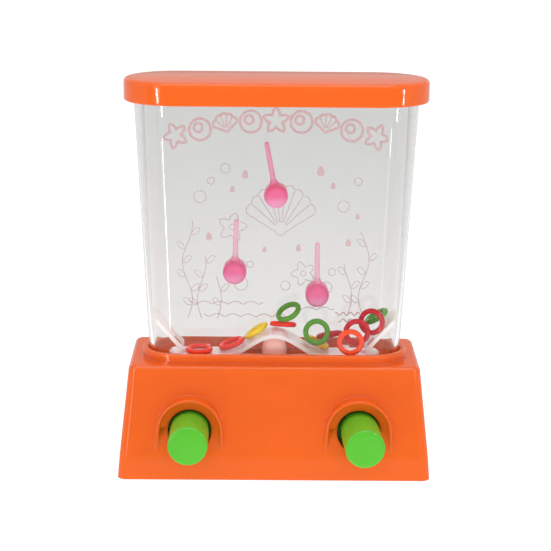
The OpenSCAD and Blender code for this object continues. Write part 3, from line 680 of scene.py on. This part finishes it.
# %% Three inks
INK_SETTINGS = dict(roughness=0.5, mottle=0.12, patch=2, rub=0, scratches=0, dust=0, edge=0.02,
                    Alpha=0.65)
ink_pale = moulded("ink_pale", display_colour(255, 196, 202), **INK_SETTINGS)
ink_line = moulded("ink_line", display_colour(232, 190, 196), **INK_SETTINGS)
ink_brown = moulded("ink_brown", display_colour(216, 158, 144), **INK_SETTINGS)
print("three inks mixed")

# %% [markdown]
# ## The band and the drops
# The band is drawn with a broad stroke, so it reads first. Each stencil stands on a shallow arch
# and leans with it. Below it a few small drops are filled in, in the same ink.

# %% The band of shells, stars and bubbles
BAND_COUNT, BAND_STEP, BAND_STROKE, RIB_STROKE = 9, 7.0, 0.75, 0.35
ARCH_FOOT, ARCH_RISE, ARCH_SPAN = 87.2, 6.6, 72
DEGREES_PER_MM = 0.9

band = Drawing(gap=0.04)
for i in range(BAND_COUNT):
    x = BAND_STEP * (i - (BAND_COUNT - 1) / 2)
    spot, slope = (x, ARCH_FOOT + ARCH_RISE * math.cos(math.pi * x / ARCH_SPAN)), DEGREES_PER_MM * x
    if i % 4 == 0:
        shapes = [star(spot, 3.7, slope, 0.45)]
    elif i % 4 == 2:
        rim, ribs = shell(spot, 3.0, 5, slope)
        shapes = [rim]
        for rib in ribs:
            band.line(rib, RIB_STROKE)
    else:
        shapes = [bubble(spot, 3.0), bubble((x - 0.5, spot[1] + 0.5), 1.2)]
    for shape in shapes:
        band.line(shape, BAND_STROKE, closed=True)
print(BAND_COUNT, "shapes in the band")

# %% The drops below the band
DROPS = ((-8.5, 78.5, 1.5), (12.5, 79.5, 1.7), (-12, 74.5, 1.1), (16, 75.5, 1.2), (-18.5, 61, 1.4),
         (20.5, 59.5, 1.3), (-3, 57.5, 1.0), (6.5, 58, 1.2), (23, 67, 1.0))
for x, z, size in DROPS:
    band.fill((x, z), drop((x, z), size))
band.finish("print_band", ink_pale)

# %% [markdown]
# ## The line work
# Below the band the design is thin and light, so that the rings and pegs stand out before it.
# Single curves would each be a piece of their own, so all lines of one ink are one mesh.

# %% The big shell and the weed
STROKE = 0.27
WEEDS = ((-24.5, 38, 66, 1.4), (-20.5, 38, 56, -1.2), (-16, 38, 50, 1.0), (25, 39, 63, -1.4),
         (20.5, 39, 54, 1.2))
LEAF_EVERY, SWAY_LENGTH = 4, 3.4

fine = Drawing(gap=0.02)
rim, ribs = shell((1.5, 67.5), 8.4, 9)
fine.line(rim, STROKE, closed=True)
for rib in ribs:
    fine.line(rib, STROKE)
for root, low, high, sway in WEEDS:
    stalk = [(root + sway * math.sin((z - low) / SWAY_LENGTH), z) for z in spaced(low, high, 0.5)]
    fine.line(stalk, STROKE)
    for k, z in enumerate(range(low + LEAF_EVERY, high - 1, LEAF_EVERY)):
        x = root + sway * math.sin((z - low) / SWAY_LENGTH)
        fine.line(leaf(x, z, 1 if k % 2 else -1), STROKE * 0.8, closed=True)
print(len(WEEDS), "weeds")

# %% Bubbles, starfish and waves
BUBBLES = ((-9.5, 48, 1.9), (-12.5, 52, 1.2), (-7, 53.5, 0.9), (14.5, 47, 1.6), (16, 51.5, 1.0),
           (3, 47.5, 1.3), (-14, 80.5, 1.3), (19, 70, 1.6), (-21, 72.5, 1.7), (-18, 77, 1.0),
           (23, 77, 1.1))
STARFISH = (((-12, 64), 4.2, 12), ((8, 51), 3.6, -20))
WAVES = ((-24, -3, 42, 0), (2, 17, 40.5, 1.5), (-20, 6, 38.4, 0.8))
WAVE_HEIGHT, WAVE_LENGTH = 0.9, 4.4

for x, z, radius in BUBBLES:
    fine.line(bubble((x, z), radius), STROKE * 0.9, closed=True)
for spot, size, turned in STARFISH:
    fine.line(star(spot, size, turned), STROKE, closed=True)
    fine.line(bubble(spot, size * 0.2), STROKE * 0.8, closed=True)
for low, high, z, shift in WAVES:
    wave = [(x, z + WAVE_HEIGHT * abs(math.sin(math.pi * (x + shift) / WAVE_LENGTH)))
            for x in spaced(low, high, 0.4)]
    fine.line(wave, STROKE)
fine.finish("print_lines", ink_line)

# %% Two short rows of ripples in a browner ink, low on the right
RIPPLE_ROWS = ((17, 24, 39.5), (18, 22.5, 37.6))
RIPPLE_HEIGHT, RIPPLE_STROKE = 0.45, 0.35

ripples = Drawing(gap=0.02)
for low, high, z in RIPPLE_ROWS:
    row = [(x, z + RIPPLE_HEIGHT * math.sin(3 * x)) for x in spaced(low, high, 0.25)]
    ripples.line(row, RIPPLE_STROKE)
ripples.finish("print_ripples", ink_brown)

# %% [markdown]
# ## Smooth shading
# The solids arrive as triangles. Smoothing the mesh itself would change what was measured. A
# small geometry-nodes modifier joins their seams and shades them smooth, except across real
# corners, and leaves the mesh as it is.

# %% A modifier that shades round what is round
SEAM = 0.001 * MM
CORNER_DEGREES = 28


def build_smoother():
    group = bpy.data.node_groups.new("smooth_shading", "GeometryNodeTree")
    group.interface.new_socket("Geometry", in_out="INPUT", socket_type="NodeSocketGeometry")
    group.interface.new_socket("Geometry", in_out="OUTPUT", socket_type="NodeSocketGeometry")
    given = group.nodes.new("NodeGroupInput").outputs
    result = group.nodes.new("NodeGroupOutput").inputs
    joined = group.nodes.new("GeometryNodeMergeByDistance")
    joined.inputs["Distance"].default_value = SEAM
    plain = group.nodes.new("GeometryNodeRemoveAttribute")
    plain.inputs["Name"].default_value = "custom_normal"
    smooth = group.nodes.new("GeometryNodeSetShadeSmooth")
    crisp = group.nodes.new("GeometryNodeSetShadeSmooth")
    crisp.domain = "EDGE"
    crisp.inputs["Shade Smooth"].default_value = False
    angle = group.nodes.new("GeometryNodeInputMeshEdgeAngle")
    corner = group.nodes.new("FunctionNodeCompare")
    corner.operation = "GREATER_THAN"
    corner.inputs[1].default_value = math.radians(CORNER_DEGREES)
    group.links.new(given[0], joined.inputs["Geometry"])
    group.links.new(joined.outputs[0], plain.inputs["Geometry"])
    group.links.new(plain.outputs[0], smooth.inputs["Geometry"])
    group.links.new(smooth.outputs[0], crisp.inputs["Geometry"])
    group.links.new(angle.outputs["Unsigned Angle"], corner.inputs[0])
    group.links.new(corner.outputs[0], crisp.inputs["Selection"])
    group.links.new(crisp.outputs[0], result[0])
    return group


smooth_shading = build_smoother()
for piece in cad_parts.values():
    piece.modifiers.new("smooth_shading", "NODES").node_group = smooth_shading
print("smoothed", len(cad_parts), "pieces")

# %% [markdown]
# ## The bellows
# Behind each button sits a soft bellows that folds up by as much as the button goes in. Bones or
# shape keys could fold it, but it hardly shows, so here it only gets a mesh of its own. Its back
# end is held by the pump chamber.

# %% Give each bellows a mesh of its own
for side in ("left", "right"):
    low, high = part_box(side + "_bellows")
    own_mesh(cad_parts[side + "_bellows"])

# %% [markdown]
# ## The studio's walls
# The toy is photographed in soft light from all round, with more of it from behind. A ring of
# lamps could give that, but the world's own light costs nothing. Where the world is looked at,
# past the toy or through the tank, it is plain white, as a white wall would be.

# %% The world
FRONT_LIGHT, BACK_LIGHT = 0.25, 0.5
world = bpy.data.worlds.new("studio")
bpy.context.scene.world = world
world.use_nodes = True
sky = world.node_tree
heading = one_axis(sky, place(sky, "TexCoord").outputs["Generated"], "Y")
around_toy = stretch(sky, heading, -1.0, 1.0, FRONT_LIGHT, BACK_LIGHT)
looks = place(sky, "LightPath").outputs
looked_at = calc(sky, "MAXIMUM", looks["Is Camera Ray"], looks["Is Transmission Ray"])
background = sky.nodes["Background"].inputs
sky.links.new(calc(sky, "MAXIMUM", around_toy, looked_at), background["Strength"])
background["Color"].default_value = WHITE
print("world lit")

# %% [markdown]
# ## The table
# The table is plain white right up to the edge of the picture. Lamps alone would make it fall
# off into grey, so most of its brightness is a glow of its own. A polarising filter on the lens
# takes part of the table's mirror image out of glossy walls. It takes most of that of the stretch
# in front of the toy, which would veil the rings. Light Path tells these kinds of ray apart.

# %% A flat card
def studio_card(title, corners, grey, glow, in_picture=True):
    """A flat card given by four corners in millimetres, with the grey it is painted in and how
    much it shines by itself. Returns its nodes."""
    mesh = bpy.data.meshes.new(title)
    mesh.from_pydata([Vector(corner) * MM for corner in corners], [], [(0, 1, 2, 3)])
    card = add_object(title, mesh)
    card.visible_camera = in_picture
    material, tree, paint = start_material(title)
    set_constants(paint, {"Base Color": (grey, grey, grey, 1), "Roughness": 1.0,
                          "Specular IOR Level": 0.0, "Emission Color": WHITE,
                          "Emission Strength": glow})
    mesh.materials.append(material)
    return tree


FLOOR_GREY = 0.1
FLOOR_HALF, FLOOR_DROP = 3000, -0.02
floor_corners = [(x * FLOOR_HALF, y * FLOOR_HALF, FLOOR_DROP)
                 for x, y in ((-1, -1), (1, -1), (1, 1), (-1, 1))]
floor_tree = studio_card("floor", floor_corners, FLOOR_GREY, 0)
print("table laid")

# %% How bright each kind of ray finds the table
FLOOR_GLOW = 1.05
MIRRORED_SHARE, FRONT_SHARE = 0.45, 0.15
FRONT_FAR, FRONT_NEAR = -120 * MM, -70 * MM
BOUNCE = 1.5
NEAR_WALL_FACES = 2.5

rays = place(floor_tree, "LightPath").outputs
straight = calc(floor_tree, "SUBTRACT", 1.0, rays["Is Transmission Ray"])
mirrored = calc(floor_tree, "MULTIPLY", rays["Is Glossy Ray"], straight)
seen = calc(floor_tree, "SUBTRACT", 1.0, calc(floor_tree, "MULTIPLY", mirrored, 1 - MIRRORED_SHARE))
# Light that has passed fewer than three faces of clear plastic comes off the near wall
near_wall = calc(floor_tree, "LESS_THAN", rays["Transmission Depth"], NEAR_WALL_FACES)
indirect = calc(floor_tree, "MULTIPLY", rays["Is Glossy Ray"], near_wall)
forward = one_axis(floor_tree, own_place(floor_tree), "Y")
front = stretch(floor_tree, forward, FRONT_FAR, FRONT_NEAR, FRONT_SHARE, 1.0)
veil = calc(floor_tree, "MULTIPLY", indirect, calc(floor_tree, "SUBTRACT", 1.0, front))
kept = calc(floor_tree, "SUBTRACT", 1.0, veil)
# The light that the table throws up into the shaded undersides is a little stronger
extra = (BOUNCE - 1) * FLOOR_GLOW
bounced = calc(floor_tree, "MULTIPLY_ADD", rays["Is Diffuse Ray"], extra, FLOOR_GLOW)
shine = calc(floor_tree, "MULTIPLY", calc(floor_tree, "MULTIPLY", seen, kept), bounced)
floor_tree.links.new(shine, floor_tree.nodes["Principled BSDF"].inputs["Emission Strength"])
print("table's glow set")

# %% [markdown]
# ## Grey cards
# Clear walls against white have no edge. A darker tint would spoil their middle, so the studio
# does what photographers do: grey cards stand just outside the picture on both sides, and only
# the steep edges of the walls show them.

# %% A grey card on each side
CARD_GREY, CARD_GLOW = 0.45, 0.22
CARD_HEIGHT = 260
for side, name in ((-1, "left_card"), (1, "right_card")):
    near, far = (side * 95, -40), (side * 250, 800)
    corners = [near + (0,), far + (0,), far + (CARD_HEIGHT,), near + (CARD_HEIGHT,)]
    studio_card(name, corners, CARD_GREY, CARD_GLOW, in_picture=False)
print("grey cards up")

# %% [markdown]
# ## Lamps
# The lamps are soft boxes, because a bare bulb would cast hard shadows. Narrow strips, which
# show only in reflections, draw the fine bright lines down the tank's rounded ends. The fills
# have a polarised sheet in front, so they leave no glare.

# %% Two kinds of lamp
def area_light(title, place_at, aim_at, width, height, watts):
    """A soft rectangle of light at place_at, facing aim_at. Both are in millimetres."""
    lamp = bpy.data.lights.new(title, "AREA")
    lamp.shape = "RECTANGLE"
    lamp.size, lamp.size_y, lamp.energy = width * MM, height * MM, watts
    box = add_object(title, lamp)
    start, end = Vector(place_at) * MM, Vector(aim_at) * MM
    facing = (end - start).to_track_quat("-Z", "Y").to_matrix().to_4x4()
    box.matrix_world = Matrix.Translation(start) @ facing
    box.visible_camera = box.visible_transmission = False
    return box


def strip_light(title, low, high, aim_at, width, watts):
    """A narrow lamp between two points, which shows only in reflections."""
    low, high, aim_at = (Vector(point) for point in (low, high, aim_at))
    middle = (low + high) / 2
    strip = area_light(title, middle, aim_at, width, (high - low).length, watts)
    along = (high - low).normalized()
    back = middle - aim_at
    back = (back - back.dot(along) * along).normalized()
    turned = Matrix((along.cross(back), along, back)).transposed().to_4x4()
    strip.matrix_world = Matrix.Translation(middle * MM) @ turned
    strip.visible_diffuse = False


print("lamps can be hung")

# %% Soft boxes in front, overhead and behind
area_light("key_box", (0, -450, 520), (0, 0, 50), 600, 350, 0.35)
# Overhead, for the lid and for a soft bright band along every edge that is rounded upwards
area_light("top_box", (0, -60, 600), (0, 0, 100), 500, 300, 1.7)
# A fill beside the camera, and one high behind that reaches into the tank below the lid
front_fill = area_light("front_fill", (0, -480, 150), (0, 0, 40), 500, 200, 0.48)
back_fill = area_light("back_fill", (0, 480, 330), (0, 0, 40), 700, 250, 1.6)
front_fill.visible_glossy = back_fill.visible_glossy = False
print("soft boxes hung")

# %% Lamps on the sides, and strips for the bright lines
for side, name in ((-1, "left"), (1, "right")):
    area_light(name + "_box", (side * 473, -397, 380), (0, 0, 50), 180, 180, 0.35)
    strip_light(name + "_edge", (side * 420, -60, 20), (side * 420, -60, 260), (side * 40, 0, 20),
                60, 0.3)
strip_light("left_strip", (-75, -85, 4), (-91, -77, 68), (-29, -10, 60), 8, 0.0145)
strip_light("left_glint", (-93, -82, 74), (-93, -82, 112), (-32, -13, 104), 5, 0.03)
strip_light("right_strip", (77, -84, 4), (90, -78, 62), (29, -10, 60), 8, 0.002)
strip_light("right_top", (91, -77, 63), (93, -76, 72), (29, -10, 100), 8, 0.0015)
strip_light("right_glint", (111.4, -58.5, 74), (111.4, -58.5, 90), (33, -12, 104), 3, 0.01)
strip_light("right_spark", (111.4, -58.5, 98), (111.4, -58.5, 104), (33, -12, 104), 4, 0.005)
print(len(bpy.data.lights), "lamps hung")

# %% [markdown]
# ## Colours
# A film-like view would dull the toy's strong colours, so they go to the screen as they are. The
# denoiser clears the grain that clear plastic leaves.

# %% Show colours as they are
bpy.context.scene.view_settings.view_transform = "Standard"
bpy.context.scene.cycles.use_denoising = True
print("view:", bpy.context.scene.view_settings.view_transform)
